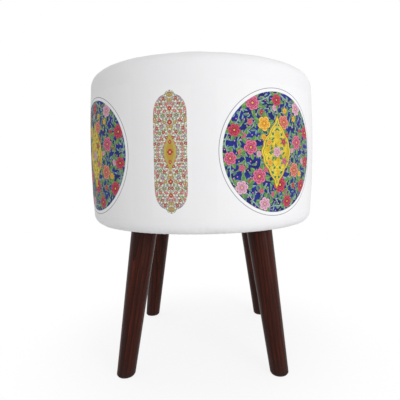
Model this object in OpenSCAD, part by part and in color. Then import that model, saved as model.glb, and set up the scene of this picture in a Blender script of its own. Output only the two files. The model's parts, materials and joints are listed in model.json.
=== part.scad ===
// Round upholstered footstool: a padded, fabric-covered drum on four splayed, tapered wooden legs.
// Millimetres, +Z up, -Y to the front. The origin is on the floor under the middle of the seat.

/* [Drum outline] */
// Diameter of the covered drum at its widest
drum_d = 370; // [330:1:430]
// Height of the covered drum, from its flat underside to the top of the crown
drum_h = 241; // [200:1:290]
// Height of the flat underside over the floor
underside_z = 209; // [170:1:300]
// How far the middle of the seat stands over its edge
crown_rise = 6; // [3:0.5:14]
// Radius of the barrel curve down the side
barrel_r = 1700; // [1200:10:4000]
// Height of the widest point over the underside
belly_h = 146; // [110:1:170]
// Radius of the padded edge round the seat
top_edge_r = 20; // [14:1:32]
// Radius of the turn under the drum
bottom_edge_r = 18; // [14:1:22]

/* [Cover and padding] */
// Thickness of the cover fabric with its backing
cover_t = 1.2; // [0.8:0.1:2]
// Distance of the seam round the seat from the drum's widest line
seam_inset = 27; // [24:1:50]
// Depth of the dip where the seam draws the cover in
seam_dip = 1.4; // [0.6:0.1:2.5]
// Flat width of the hem that is stapled under the base board
hem_w = 10; // [8:0.5:16]
// Thickness of the polyester wadding over the foam
wadding_t = 3; // [2:0.5:5]
// Thickness of the seat foam at its edge
seat_foam_t = 35; // [25:1:50]
// Thickness of the black dust cover
dust_t = 0.6; // [0.4:0.1:1.2]
// How far the dust cover laps over the hem
dust_lap = 7; // [4:0.5:8]

/* [Frame] */
// Thickness of the fibreboard wall bent round the frame
wall_t = 3; // [2:0.5:5]
// Distance from the foot of the drum's side to the outside of the fibreboard wall
wall_inset = 9; // [8:0.5:12]
// Gap between the two ends of the bent wall, where they meet on the back post
wall_joint = 1.5; // [0.5:0.5:4]
// Thickness of the plywood base board
base_t = 16; // [14:1:22]
// Thickness of the plywood seat board
seat_board_t = 12; // [9:1:18]
// Side of the square pine posts between the boards
post_w = 30; // [24:1:40]
// Rounding of the posts' planed corners
post_corner_r = 2; // [1:0.5:4]

/* [Legs] */
// Diameter of a leg at its top face
leg_top_d = 38; // [34:0.5:44]
// Diameter of a leg where it meets the floor
leg_foot_d = 26; // [20:0.5:30]
// Angle at which the legs splay outwards
splay = 9.5; // [4:0.5:14]
// Chamfer round the leg's top face
leg_chamfer = 1; // [0.5:0.1:2]
// Thickness of the plastic glide under each foot
glide_t = 2.5; // [2:0.5:4]
// How far the glide's edge stands back from the foot's edge
glide_step = 0.8; // [0.4:0.1:1.5]
// Diameter of the pin that holds the glide in the foot
glide_pin_d = 4; // [3:0.5:5]
// Length of the pin that holds the glide in the foot
glide_pin_l = 12; // [8:1:18]

/* [Leg plates] */
// Side of the square pressed-steel plate
plate_w = 52; // [48:0.5:56]
// Corner radius of the plate
plate_corner_r = 5; // [3:0.5:9]
// Thickness of the pressed sheet
plate_t = 2.5; // [1.5:0.1:3]
// Distance between the plate's corners and the hem
plate_margin = 1.4; // [0.5:0.1:4]
// Diameter of the slanted cup that faces the leg
cup_d = 35; // [32:0.5:37]
// Height of the cup's middle under the plate
cup_h = 6; // [5:0.5:9]
// Distance between the plate's screw holes, along each side
screw_pitch = 39; // [38:0.5:42]

/* [Fasteners] */
// Diameter of the hanger bolts
bolt_d = 8; // [6:1:8]
// Length of a hanger bolt's wood thread, inside the leg
bolt_in_leg = 30; // [20:1:40]
// Length of a hanger bolt's machine thread, over the leg
bolt_over_leg = 16; // [14:1:18]
// Chamfer on the end of a hanger bolt's machine thread
bolt_chamfer = 1; // [0.5:0.1:1.5]
// Width across the flats of the nut fixed in the cup
nut_af = 13; // [12:0.5:14]
// Height of the nut fixed in the cup
nut_h = 5; // [4:0.5:5.5]
// Diameter of the wood screws' shanks
screw_d = 4; // [3.5:0.1:4.5]
// Diameter of the wood screws' countersunk heads
screw_head_d = 7.6; // [7:0.1:8]
// Length of the plate's wood screws
screw_l = 15; // [12:0.5:16]
// Length of the frame's wood screws
frame_screw_l = 45; // [40:1:60]
// Distance between the two screws in each end of a post
frame_screw_pitch = 14; // [12:1:16]

/* [Fits] */
// Gap left between curved layers that lie on each other
layer_gap = 0.2; // [0.1:0.05:0.3]
// Radial clearance round bolts, screws and pins
pin_gap = 0.1; // [0.05:0.05:0.2]
// Space left past the end of a bolt, screw or pin, and round a nut
end_gap = 1; // [0.5:0.5:2]

/* [Hidden] */
$fn = 96;
arc_steps = 9;
belly_steps = 14;
leg_angles = [225, 315, 45, 135];
post_angles = [270, 90, 180, 0];

drum_r = drum_d / 2;
top_z = underside_z + drum_h;
belly_z = underside_z + belly_h;

// Centres of the four arcs of the drum's outline. Every layer shares them.
barrel_c = [drum_r - barrel_r, belly_z];
crown_span = drum_r - top_edge_r;
crown_r = (crown_span * crown_span + crown_rise * crown_rise) / (2 * crown_rise);
crown_c = [0, top_z - crown_r];
top_edge_c = circles_meet(barrel_c, barrel_r - top_edge_r, crown_c, crown_r - top_edge_r);
bottom_edge_z = underside_z + bottom_edge_r;
bottom_edge_c = [
    barrel_c[0] + sqrt(pow(barrel_r - bottom_edge_r, 2) - pow(bottom_edge_z - belly_z, 2)),
    bottom_edge_z
];

// Levels and radii of the frame
board_z = underside_z + cover_t;
base_top_z = board_z + base_t;
padding = cover_t + wadding_t + 2 * layer_gap;
foam_edge_top_z = top_z - crown_rise - cover_t - wadding_t;
seat_z = foam_edge_top_z - seat_foam_t;
seat_board_z = seat_z - seat_board_t;
wall_outer_r = bottom_edge_c[0] + bottom_edge_r - wall_inset;
wall_inner_r = wall_outer_r - wall_t;
board_r = wall_inner_r - layer_gap;
seam_r = drum_r - seam_inset;
hem_r = bottom_edge_c[0] - hem_w;
dust_r = hem_r + dust_lap;

// Posts stand with their outer corners just inside the wall
post_r = sqrt(pow(board_r, 2) - pow(post_w / 2, 2)) - post_w / 2;

// Leg plates fit inside the hem, and the legs hang from their slanted cups
plate_z = board_z - dust_t - plate_t;
plate_r = sqrt(pow(hem_r - plate_margin, 2) - pow(plate_w / 2, 2)) - plate_w / 2;
leg_top_z = plate_z - cup_h;
leg_l = leg_top_z / cos(splay);
leg_slope = (leg_top_d - leg_foot_d) / 2 / leg_l;
foot_r = plate_r + leg_top_z * tan(splay);
glide_x = foot_r - glide_t * tan(splay);
bolt_hole_r = bolt_d / 2 + pin_gap;
nut_r = nut_af / 2 / cos(30);
nut_well_r = nut_r + end_gap;
screw_hole_r = screw_d / 2 + pin_gap;
screw_head_h = (screw_head_d - screw_d) / 2;

// Where two circles meet, on the side away from the axis
function circles_meet(a, ra, b, rb) =
    let (d = norm(b - a), u = (b - a) / d, along = (ra * ra - rb * rb + d * d) / (2 * d),
         across = sqrt(ra * ra - along * along), p = a + along * u)
    [p[0] - across * u[1], p[1] + across * u[0]][0] > 0
        ? [p[0] - across * u[1], p[1] + across * u[0]]
        : [p[0] + across * u[1], p[1] - across * u[0]];

// Points along an arc
function arc(c, r, from, to, steps) =
    [for (i = [0:steps]) c + r * [cos(from + (to - from) * i / steps), sin(from + (to - from) * i / steps)]];

function angle_of(v) = atan2(v[1], v[0]);

// The drum's outline, a given depth inside the cover's face: from the axis underneath, round to the crown
function outline(depth) =
    let (low = angle_of(bottom_edge_c - barrel_c), high = angle_of(top_edge_c - barrel_c),
         crown = angle_of(top_edge_c - crown_c))
    concat(
        [[0, underside_z + depth]],
        arc(bottom_edge_c, bottom_edge_r - depth, -90, low, arc_steps),
        arc(barrel_c, barrel_r - depth, low, high, belly_steps),
        arc(top_edge_c, top_edge_r - depth, high, crown, arc_steps),
        arc(crown_c, crown_r - depth, crown, 90, arc_steps)
    );

// A solid turned from the outline, between two depths
module layer(outer_depth, inner_depth) {
    difference() {
        polygon(outline(outer_depth));
        polygon(outline(inner_depth));
    }
}

module beyond(r, low, high) {
    translate([r, low])
        square([2 * drum_r, high - low]);
}

module within(r, low, high) {
    translate([0, low])
        square([r, high - low]);
}

// The small valley that the seam draws into the cover, on the crown
module seam_valley() {
    seam_z = crown_c[1] + sqrt(pow(crown_r, 2) - pow(seam_r, 2));
    polygon([
        [seam_r - 2 * seam_dip, seam_z + seam_dip],
        [seam_r, seam_z - min(seam_dip, cover_t / 2)],
        [seam_r + 2 * seam_dip, seam_z + seam_dip]
    ]);
}

module cover_side_band() {
    color("whitesmoke")
        rotate_extrude()
            difference() {
                intersection() {
                    layer(0, cover_t);
                    union() {
                        beyond(hem_r, 0, belly_z);
                        beyond(seam_r, belly_z, 2 * top_z);
                    }
                }
                seam_valley();
            }
}

module cover_top_panel() {
    color("white")
        rotate_extrude()
            difference() {
                intersection() {
                    layer(0, cover_t);
                    within(seam_r, belly_z, 2 * top_z);
                }
                seam_valley();
            }
}

module wadding_wrap() {
    color("ivory")
        rotate_extrude()
            intersection() {
                layer(cover_t + layer_gap, cover_t + layer_gap + wadding_t);
                union() {
                    beyond(board_r + layer_gap, 0, belly_z);
                    within(2 * drum_r, belly_z, 2 * top_z);
                }
            }
}

module seat_foam() {
    color("khaki")
        rotate_extrude()
            intersection() {
                polygon(outline(padding));
                within(2 * drum_r, seat_z, 2 * top_z);
            }
}

// The foam round the wall laps under its lower edge as far as the base board
module side_foam() {
    color("palegoldenrod")
        rotate_extrude()
            difference() {
                intersection() {
                    polygon(outline(padding));
                    beyond(board_r + layer_gap, 0, seat_z);
                }
                within(wall_outer_r + layer_gap, board_z + base_t / 2, seat_z + cover_t);
            }
}

module seat_board() {
    color("burlywood")
        difference() {
            translate([0, 0, seat_board_z])
                cylinder(r = board_r, h = seat_board_t);
            frame_screw_holes();
        }
}

// A sheet bent into a cylinder, its ends butted on the back post
module wall_board() {
    wall_h = seat_z - board_z - base_t / 2;
    color("peru")
        translate([0, 0, board_z + base_t / 2])
            difference() {
                cylinder(r = wall_outer_r, h = wall_h);
                translate([0, 0, -wall_h / 2])
                    cylinder(r = wall_inner_r, h = 2 * wall_h);
                translate([-wall_joint / 2, 0, -wall_h / 2])
                    cube([wall_joint, drum_r, 2 * wall_h]);
            }
}

// A square with round corners
module rounded_square(side, r) {
    inner = side - 2 * r;
    square([side, inner], center = true);
    square([inner, side], center = true);
    for (x = [-1, 1], y = [-1, 1])
        translate([x, y] * inner / 2)
            circle(r);
}

module post(angle) {
    color("wheat")
        difference() {
            rotate([0, 0, angle])
                translate([post_r, 0, base_top_z])
                    linear_extrude(seat_board_z - base_top_z)
                        rounded_square(post_w, post_corner_r);
            frame_screw_holes();
        }
}

module base_board() {
    color("burlywood")
        difference() {
            rotate_extrude()
                intersection() {
                    polygon(outline(cover_t));
                    within(board_r, board_z, base_top_z);
                }
            frame_screw_holes();
            plate_screw_places()
                cylinder(r = screw_hole_r, h = screw_l + end_gap);
            leg_places()
                cylinder(r = nut_well_r, h = bolt_over_leg + end_gap);
        }
}

// Pressed up against the board inside the hem, and lapped over the hem at its edge
module dust_cover() {
    step_r = hem_r - layer_gap;
    color([0.08, 0.08, 0.09])
        difference() {
            rotate_extrude()
                polygon([
                    [0, board_z - dust_t],
                    [step_r - dust_t, board_z - dust_t],
                    [step_r - dust_t, underside_z - dust_t],
                    [dust_r, underside_z - dust_t],
                    [dust_r, underside_z],
                    [step_r, underside_z],
                    [step_r, board_z],
                    [0, board_z]
                ]);
            plate_screw_places()
                cylinder(r = screw_hole_r, h = screw_l + end_gap);
            leg_places()
                cylinder(r = nut_well_r, h = bolt_over_leg + end_gap);
        }
}

// Sets its children in the frame of one leg: origin in the middle of the leg's top face, +Z up the leg
module leg_place(angle) {
    rotate([0, 0, angle])
        translate([plate_r, 0, leg_top_z])
            rotate([0, -splay, 0])
                children();
}

module leg_places() {
    for (angle = leg_angles)
        leg_place(angle)
            children();
}

// Sets its children at one plate's four screws: origin on the plate's lower face, +Z into the board
module plate_screws_at(angle) {
    rotate([0, 0, angle])
        translate([plate_r, 0, plate_z])
            for (x = [-1, 1], y = [-1, 1])
                translate([x, y, 0] * screw_pitch / 2)
                    children();
}

module plate_screw_places() {
    for (angle = leg_angles)
        plate_screws_at(angle)
            children();
}

// A countersunk wood screw, its flat head at the origin and its point up
module screw(length) {
    tip = 1.5 * screw_d;
    cylinder(r1 = screw_head_d / 2, r2 = screw_d / 2, h = screw_head_h);
    cylinder(r = screw_d / 2, h = length - tip);
    translate([0, 0, length - tip])
        cylinder(r1 = screw_d / 2, r2 = screw_d / 8, h = tip);
}

// The hole that a screw's head and shank fit, opened by the clearance
module screw_hole(length) {
    cylinder(r1 = screw_head_d / 2 + pin_gap, r2 = screw_hole_r, h = screw_head_h);
    cylinder(r = screw_hole_r, h = length);
}

// A pressed plate with a hollow cup under it, slanted to face its leg squarely
module leg_plate(angle) {
    cup_l = 3 * cup_h;
    color("silver")
        difference() {
            union() {
                rotate([0, 0, angle])
                    translate([plate_r, 0, plate_z])
                        linear_extrude(plate_t)
                            rounded_square(plate_w, plate_corner_r);
                intersection() {
                    leg_place(angle)
                        cylinder(d = cup_d, h = cup_l);
                    cylinder(r = drum_r, h = plate_z + plate_t / 2);
                }
            }
            leg_place(angle)
                translate([0, 0, plate_t])
                    cylinder(d = cup_d - 2 * plate_t, h = 2 * cup_l);
            leg_place(angle)
                translate([0, 0, -plate_t])
                    cylinder(r = bolt_hole_r, h = cup_l);
            plate_screws_at(angle)
                screw_hole(2 * plate_t);
        }
}

module plate_nuts() {
    color("gray")
        leg_places()
            translate([0, 0, plate_t])
                difference() {
                    cylinder(r = nut_r, h = nut_h, $fn = 6);
                    translate([0, 0, -nut_h])
                        cylinder(r = bolt_hole_r, h = 3 * nut_h);
                }
}

// A turned leg: a straight taper, square to its axis at the top and sawn level at the floor
module leg(angle) {
    spare = leg_foot_d / 2;
    color([0.24, 0.11, 0.08])
        difference() {
            leg_place(angle) {
                translate([0, 0, -leg_chamfer])
                    cylinder(r1 = leg_top_d / 2, r2 = leg_top_d / 2 - leg_chamfer, h = leg_chamfer);
                translate([0, 0, -leg_l - spare])
                    cylinder(
                        r1 = leg_foot_d / 2 - leg_slope * spare,
                        r2 = leg_top_d / 2,
                        h = leg_l + spare - leg_chamfer
                    );
            }
            leg_place(angle)
                translate([0, 0, -bolt_in_leg - end_gap])
                    cylinder(r = bolt_hole_r, h = bolt_in_leg + 2 * end_gap);
            translate([-drum_d, -drum_d, glide_t - drum_d])
                cube([2 * drum_d, 2 * drum_d, drum_d]);
            rotate([0, 0, angle])
                translate([glide_x, 0, 0])
                    cylinder(r = glide_pin_d / 2 + pin_gap, h = glide_t + glide_pin_l + end_gap);
        }
}

module glide(angle) {
    rim = leg_foot_d / 2 - glide_step;
    color([0.06, 0.06, 0.06])
        rotate([0, 0, angle])
            translate([glide_x, 0, 0]) {
                cylinder(r1 = rim - glide_t / 3, r2 = rim, h = glide_t / 3);
                translate([0, 0, glide_t / 3])
                    cylinder(r = rim, h = glide_t * 2 / 3);
                cylinder(d = glide_pin_d, h = glide_t + glide_pin_l);
            }
}

module hanger_bolts() {
    tip = bolt_d / 2;
    color("darkgray")
        leg_places()
            translate([0, 0, -bolt_in_leg]) {
                cylinder(d1 = bolt_d / 4, d2 = bolt_d, h = tip);
                translate([0, 0, tip])
                    cylinder(d = bolt_d, h = bolt_in_leg + bolt_over_leg - tip - bolt_chamfer);
                translate([0, 0, bolt_in_leg + bolt_over_leg - bolt_chamfer])
                    cylinder(d1 = bolt_d, d2 = bolt_d - 2 * bolt_chamfer, h = bolt_chamfer);
            }
}

module plate_screws() {
    color("gainsboro")
        plate_screw_places()
            screw(screw_l);
}

// Sets its children at the frame's screws: up through the base board and down through the seat board
module frame_screw_places() {
    for (angle = post_angles, side = [-1, 1])
        rotate([0, 0, angle])
            translate([post_r, side * frame_screw_pitch / 2, 0]) {
                translate([0, 0, board_z])
                    children();
                translate([0, 0, seat_z])
                    mirror([0, 0, 1])
                        children();
            }
}

module frame_screw_holes() {
    frame_screw_places()
        screw_hole(frame_screw_l + end_gap);
}

module frame_screws() {
    color("goldenrod")
        frame_screw_places()
            screw(frame_screw_l);
}

cover_side_band();
cover_top_panel();
wadding_wrap();
seat_foam();
side_foam();
seat_board();
wall_board();
post(post_angles[0]);  // post_front
post(post_angles[1]);  // post_back
post(post_angles[2]);  // post_left
post(post_angles[3]);  // post_right
base_board();
dust_cover();
leg_plate(leg_angles[0]);  // leg_plate_front_left
leg_plate(leg_angles[1]);  // leg_plate_front_right
leg_plate(leg_angles[2]);  // leg_plate_back_right
leg_plate(leg_angles[3]);  // leg_plate_back_left
leg(leg_angles[0]);  // leg_front_left
leg(leg_angles[1]);  // leg_front_right
leg(leg_angles[2]);  // leg_back_right
leg(leg_angles[3]);  // leg_back_left
glide(leg_angles[0]);  // glide_front_left
glide(leg_angles[1]);  // glide_front_right
glide(leg_angles[2]);  // glide_back_right
glide(leg_angles[3]);  // glide_back_left
plate_nuts();
hanger_bolts();
plate_screws();
frame_screws();
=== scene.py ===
import json
import math

import bpy
import numpy as np
from mathutils import Euler, Matrix, Vector

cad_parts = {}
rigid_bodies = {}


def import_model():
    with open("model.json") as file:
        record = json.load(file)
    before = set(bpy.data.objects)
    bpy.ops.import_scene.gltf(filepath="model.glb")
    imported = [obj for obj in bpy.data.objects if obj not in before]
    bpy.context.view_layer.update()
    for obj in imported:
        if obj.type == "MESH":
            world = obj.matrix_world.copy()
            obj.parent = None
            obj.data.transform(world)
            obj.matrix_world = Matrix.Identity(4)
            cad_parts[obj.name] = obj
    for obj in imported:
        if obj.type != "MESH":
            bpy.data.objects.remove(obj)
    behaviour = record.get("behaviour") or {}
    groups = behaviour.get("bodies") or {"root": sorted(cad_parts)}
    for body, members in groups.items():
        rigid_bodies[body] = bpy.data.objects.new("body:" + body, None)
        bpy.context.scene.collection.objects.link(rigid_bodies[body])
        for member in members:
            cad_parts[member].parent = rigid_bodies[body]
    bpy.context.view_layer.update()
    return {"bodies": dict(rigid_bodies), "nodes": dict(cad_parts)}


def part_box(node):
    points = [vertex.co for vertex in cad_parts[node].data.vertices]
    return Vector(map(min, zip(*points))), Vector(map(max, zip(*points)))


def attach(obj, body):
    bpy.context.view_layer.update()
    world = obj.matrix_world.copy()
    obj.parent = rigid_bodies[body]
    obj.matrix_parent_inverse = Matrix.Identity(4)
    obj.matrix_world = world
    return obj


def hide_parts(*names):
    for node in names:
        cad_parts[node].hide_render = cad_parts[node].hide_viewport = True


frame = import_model()
nodes = frame["nodes"]
for spare in set(bpy.data.objects) - set(nodes.values()) - set(frame["bodies"].values()):
    bpy.data.objects.remove(spare)  # Blender's own cube, lamp and camera
mm = 0.001
fullTurn = 2 * math.pi
quarterTurn = math.pi / 2


def addObject(name, data):
    made = bpy.data.objects.new(name, data)
    bpy.context.scene.collection.objects.link(made)
    return made


# Camera: a level view through a shifted lens, as the photograph has it

cameraView = {
    "place": Vector((21.3 * mm, -625.4 * mm, 289.0 * mm)),
    "lens": 32.2,
    "roll": -0.012,
    "shift": (-0.038, -0.069),
    "clip": (10 * mm, 50.0),
}


def makeCamera(view):
    data = bpy.data.cameras.new("camera")
    data.lens = view["lens"]
    data.shift_x, data.shift_y = view["shift"]
    data.clip_start, data.clip_end = view["clip"]
    camera = addObject("camera", data)
    turn = Euler((quarterTurn, -view["roll"], 0))
    camera.matrix_world = Matrix.LocRotScale(view["place"], turn, None)
    bpy.context.scene.camera = camera


makeCamera(cameraView)
print("camera placed")


# Node maths: a socket that Python expressions can use


class Value:
    def __init__(self, tree, socket=None):
        self.tree, self.socket = tree, socket

    def node(self, kind, settings, inputs, output=0):
        made = self.tree.nodes.new(kind)
        for name, setting in settings.items():
            if name == "steps":
                self.setSteps(made.color_ramp, setting)
            else:
                setattr(made, name, setting)
        for name, value in inputs.items():
            if isinstance(value, Value):
                self.tree.links.new(value.socket, made.inputs[name])
            else:
                made.inputs[name].default_value = value
        if isinstance(output, tuple):
            return [Value(self.tree, made.outputs[one]) for one in output]
        return None if output is None else Value(self.tree, made.outputs[output])

    def setSteps(self, ramp, steps):  # plain colours, each from its own place on
        ramp.interpolation = "CONSTANT"
        while len(ramp.elements) < len(steps):
            ramp.elements.new(1.0)
        for element, (place, colour) in zip(ramp.elements, steps):
            element.position, element.color = place, colour

    def math(self, operation, *others):
        values = dict(enumerate((self, *others)))
        return self.node("ShaderNodeMath", {"operation": operation}, values)

    def __add__(self, other):
        return self.math("ADD", other)

    def __sub__(self, other):
        return self.math("SUBTRACT", other)

    def __rsub__(self, other):
        return self.math("MULTIPLY_ADD", -1.0, other)

    def __mul__(self, other):
        return self.math("MULTIPLY", other)

    def __truediv__(self, other):
        return self.math("DIVIDE", other)

    def __rtruediv__(self, other):
        return self.math("POWER", -1.0) * other

    def __mod__(self, other):
        return self.math("FLOORED_MODULO", other)

    def __abs__(self):
        return self.math("ABSOLUTE")

    __radd__, __rmul__ = __add__, __mul__

    def blend(self, first, second, mode="MIX"):  # the first colour at 0, the second at 1
        settings = {"data_type": "RGBA", "blend_type": mode}
        return self.node("ShaderNodeMix", settings, {0: self, 6: first, 7: second}, 2)

    def over(self, colour, mask):  # the colour laid over this one where the mask is 1
        return mask.blend(self, colour)


def srgb(red, green, blue):  # a colour as a screen shows it, 0 to 255, made linear
    levels = (level / 255 for level in (red, green, blue))
    return (*(x / 12.92 if x <= 0.04045 else ((x + 0.055) / 1.055) ** 2.4 for x in levels), 1.0)


def above(value, edge, blur, low=0.0, high=1.0):  # low under the edge, high over it
    settings = {"interpolation_type": "SMOOTHSTEP", "clamp": False}
    inputs = {0: value, 1: edge - blur, 2: edge + blur, 3: low, 4: high}
    return value.node("ShaderNodeMapRange", settings, inputs)


def below(value, edge, blur):
    return above(value, edge, blur, 1.0, 0.0)


def between(value, low, high, blur):
    return below(abs(value - (low + high) / 2), (high - low) / 2, blur)


def cloud(vector, size, detail=2.0, roughness=0.5):  # soft noise, its largest spots about that size
    inputs = {"Vector": vector, "Scale": 1 / size, "Detail": detail, "Roughness": roughness}
    return vector.node("ShaderNodeTexNoise", {}, inputs)


def placed(vector, place=(0, 0, 0), turn=(0, 0, 0), size=(1, 1, 1)):  # seen from a frame put there
    inputs = {"Vector": vector, "Location": place, "Rotation": turn, "Scale": size}
    return vector.node("ShaderNodeMapping", {"vector_type": "TEXTURE"}, inputs)


def split(vector):
    return vector.node("ShaderNodeSeparateXYZ", {}, {0: vector}, (0, 1, 2))


def joined(x, y):
    return x.node("ShaderNodeCombineXYZ", {}, {0: x, 1: y})


def distance(x, y):
    return (x * x + y * y).math("SQRT")


def objectCoordinates(start):
    return start.node("ShaderNodeTexCoord", {}, {}, "Object")


def facing(start):  # 1 where the surface faces straight up or down, 0 where it stands upright
    return abs(split(start.node("ShaderNodeNewGeometry", {}, {}, "Normal"))[2])


def newMaterial(build, *given, name=None):  # build is the function that makes its nodes
    material = bpy.data.materials.new(name or build.__name__)
    material.use_nodes = True
    material.node_tree.nodes.clear()
    build(Value(material.node_tree), *given)
    return material


def newTree(name, kind, result, **inputs):  # a node tree with named inputs, and their values
    tree = bpy.data.node_groups.new(name, kind + "NodeTree")
    for label, socket in inputs.items():
        tree.interface.new_socket(label, in_out="INPUT", socket_type="NodeSocket" + socket)
    tree.interface.new_socket("Result", in_out="OUTPUT", socket_type="NodeSocket" + result)
    inlet = tree.nodes.new("NodeGroupInput")
    return tree, [Value(tree, inlet.outputs[label]) for label in inputs]


def surface(colour, roughness, bump, strength, depth, **looks):
    sizes = {"Strength": strength, "Distance": depth, "Height": bump}
    inputs = {"Base Color": colour, "Roughness": roughness}
    inputs["Normal"] = colour.node("ShaderNodeBump", {}, sizes)
    inputs |= {name.replace("_", " "): value for name, value in looks.items()}
    shader = colour.node("ShaderNodeBsdfPrincipled", {}, inputs)
    colour.node("ShaderNodeOutputMaterial", {}, {"Surface": shader}, None)


# Meshes turned round the stool's axis; azimuth 0 faces the front and grows to the right


def evenTurn(segments):
    return np.arange(segments) * fullTurn / segments


def smoothstep(value, low, high):
    t = np.clip((value - low) / (high - low), 0, 1)
    return t * t * (3 - 2 * t)


def newMesh(name, points, edges, faces):
    mesh = bpy.data.meshes.new(name)
    mesh.from_pydata(points, edges, faces)
    return mesh


def evaluatedMesh(piece):
    return bpy.data.meshes.new_from_object(piece.evaluated_get(bpy.context.evaluated_depsgraph_get()))


def turnedPiece(name, radii, heights, azimuths, closed=True, along=None):
    # Radii and heights hold one row of points for each ring; a ring of radius 0 is one point
    radii, heights = radii + 0 * azimuths, heights + 0 * azimuths
    rings, segments = radii.shape
    sizes = np.where(radii.max(axis=1) < 1e-9, 1, segments)
    first = np.concatenate([[0], np.cumsum(sizes)])
    x, y = radii * np.sin(azimuths), -radii * np.cos(azimuths)
    points = [(x[i, k], y[i, k], heights[i, k]) for i in range(rings) for k in range(sizes[i])]
    turns = np.append(azimuths, azimuths[0] + fullTurn) * drumRadius / mm
    faces, places, rows = [], [], []
    for row in range(rings if closed else rings - 1):
        upper = (row + 1) % rings
        for k in range(segments):
            quad = {}
            for ring, turn in ((row, k), (row, k + 1), (upper, k + 1), (upper, k)):
                corner = int(first[ring] + turn % sizes[ring])
                quad.setdefault(corner, (turns[turn], 0.0 if along is None else along[ring]))
            if len(quad) > 2:
                faces.append(list(quad))
                places += quad.values()
                rows.append(row)
    mesh = newMesh(name, points, [], faces)
    mesh.shade_smooth()
    if along is not None:
        layer = mesh.uv_layers.new(name="clothMap")
        layer.uv.foreach_set("vector", np.array(places, np.float32).ravel())
    return addObject(name, mesh), rows


def settle(piece, slot, *replaced, finishes=()):  # what every piece of the stool needs
    if finishes:
        piece.data.materials.clear()
    for finish in finishes:
        piece.data.materials.append(finish)
    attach(piece, "root")
    if replaced:
        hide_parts(*replaced)


def dress(material, *names):  # a frame node keeps its shape and gets a finish
    for name in names:
        for slot in nodes[name].material_slots:
            slot.material = material


# The drum's outline: four tangent arcs that every layer shares, from the underside up and in

drumShape = {
    "barrelRadius": 1.7,
    "bellyHeight": 146 * mm,
    "topEdgeRadius": 20 * mm,
    "bottomEdgeRadius": 18 * mm,
    "crownRise": 6 * mm,
    "seamInset": 27 * mm,
    "hemWidth": 10 * mm,
    "lowPart": 60 * mm,  # how far up the bottom edge and the hem can reach
    "coverThickness": 1.2 * mm,
    "waddingThickness": 3 * mm,
    "layerGap": 0.2 * mm,
    "steps": {"flat": 7, "foot": 12, "side": 54, "edge": 18, "crown": 30},
    "besideSeam": np.array([0.0, 0.35, 0.7, 1.1, 1.6, 2.2, 3.0, 4.2, 6.0]) * mm,
}
bandLow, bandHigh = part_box("cover_side_band")
drumRadius = bandHigh.x
undersideZ = bandLow.z
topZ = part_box("cover_top_panel")[1].z
seamRadius = drumRadius - drumShape["seamInset"]


def circlesMeet(a, radiusA, b, radiusB):  # on the side away from the axis
    away = b - a
    ahead = away.normalized()
    along = (radiusA**2 - radiusB**2 + away.length_squared) / (2 * away.length)
    sideways = Vector((-ahead.y, ahead.x)) * math.sqrt(radiusA**2 - along**2)
    middle = a + ahead * along
    return middle + sideways if (middle + sideways).x > 0 else middle - sideways


def direction(vector):
    return math.atan2(vector.y, vector.x)


def drumProfile(shape):  # points of the cover's face, and the way out of it at each
    barrelRadius, steps = shape["barrelRadius"], shape["steps"]
    edgeRadius, footRadius = shape["topEdgeRadius"], shape["bottomEdgeRadius"]
    crownRadius = ((drumRadius - edgeRadius) ** 2 + shape["crownRise"] ** 2) / (2 * shape["crownRise"])
    barrel = Vector((drumRadius - barrelRadius, undersideZ + shape["bellyHeight"]))
    crown = Vector((0, topZ - crownRadius))
    edge = circlesMeet(barrel, barrelRadius - edgeRadius, crown, crownRadius - edgeRadius)
    footZ = undersideZ + footRadius
    footReach = math.sqrt((barrelRadius - footRadius) ** 2 - (footZ - barrel.y) ** 2)
    foot = Vector((barrel.x + footReach, footZ))
    low, high, lean = direction(foot - barrel), direction(edge - barrel), direction(edge - crown)
    hem = np.linspace(foot.x - shape["hemWidth"], foot.x, steps["flat"])[:-1]
    points, normals = [(x, undersideZ) for x in hem], [(0.0, -1.0)] * len(hem)
    arcs = [
        (foot, footRadius, np.linspace(-quarterTurn, low, steps["foot"])[:-1]),
        (barrel, barrelRadius, np.linspace(low, high, steps["side"])[:-1]),
        (edge, edgeRadius, np.linspace(high, lean, steps["edge"])[:-1]),
        (crown, crownRadius, crownAngles(shape, crownRadius, lean)),
    ]
    for centre, radius, angles in arcs:
        for angle in angles:
            normal = Vector((math.cos(angle), math.sin(angle)))
            points.append(tuple(centre + radius * normal))
            normals.append(tuple(normal))
    points[-1], normals[-1] = (0.0, points[-1][1]), (0.0, 1.0)
    return np.array(points), np.array(normals)


def crownAngles(shape, crownRadius, lean):  # rows lie close together at the seam
    start, apart = crownRadius * math.cos(lean), shape["besideSeam"]
    nearSeam = np.concatenate([seamRadius + apart[::-1], seamRadius - apart[1:]])
    even = np.linspace(start, 0.0, shape["steps"]["crown"])
    wide = even[abs(even - seamRadius) > apart[-1] * 1.3]
    radii = sorted([*nearSeam[nearSeam < start - 1 * mm], *wide], reverse=True)
    return [math.acos(x / crownRadius) for x in radii]


profilePoints, profileNormals = drumProfile(drumShape)
profileSteps = np.linalg.norm(np.diff(profilePoints, axis=0), axis=1)
profileLength = np.concatenate([[0.0], np.cumsum(profileSteps)])
onSeat = profilePoints[:, 1] >= topZ - drumShape["topEdgeRadius"]
seamRow = int(np.argmin(np.where(onSeat, abs(profilePoints[:, 0] - seamRadius), 1.0)))
fromSeam = abs(profileLength - profileLength[seamRow])
print("drum outline drawn")


# Cloth: a smooth woven polyester in white, with the print dyed into it

cloth = {
    "white": srgb(239, 239, 240),
    # a grey for the painted shade in the weave's gaps, and for the plain cloth's faint mottle
    "paintedGapShadeAndMottle": srgb(206, 206, 210),
    "threadPitch": 0.42,
    "weaveDepth": 0.06 * mm,
    "slubs": (9.0, 0.8, 1.0),
    "roughness": 0.75,
    "sheen": 0.1,
}


def clothCoordinates(start):  # millimetres round the drum and up its side, on the flat cloth
    return split(start.node("ShaderNodeUVMap", {"uv_map": "clothMap"}, {}))[:2]


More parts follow.
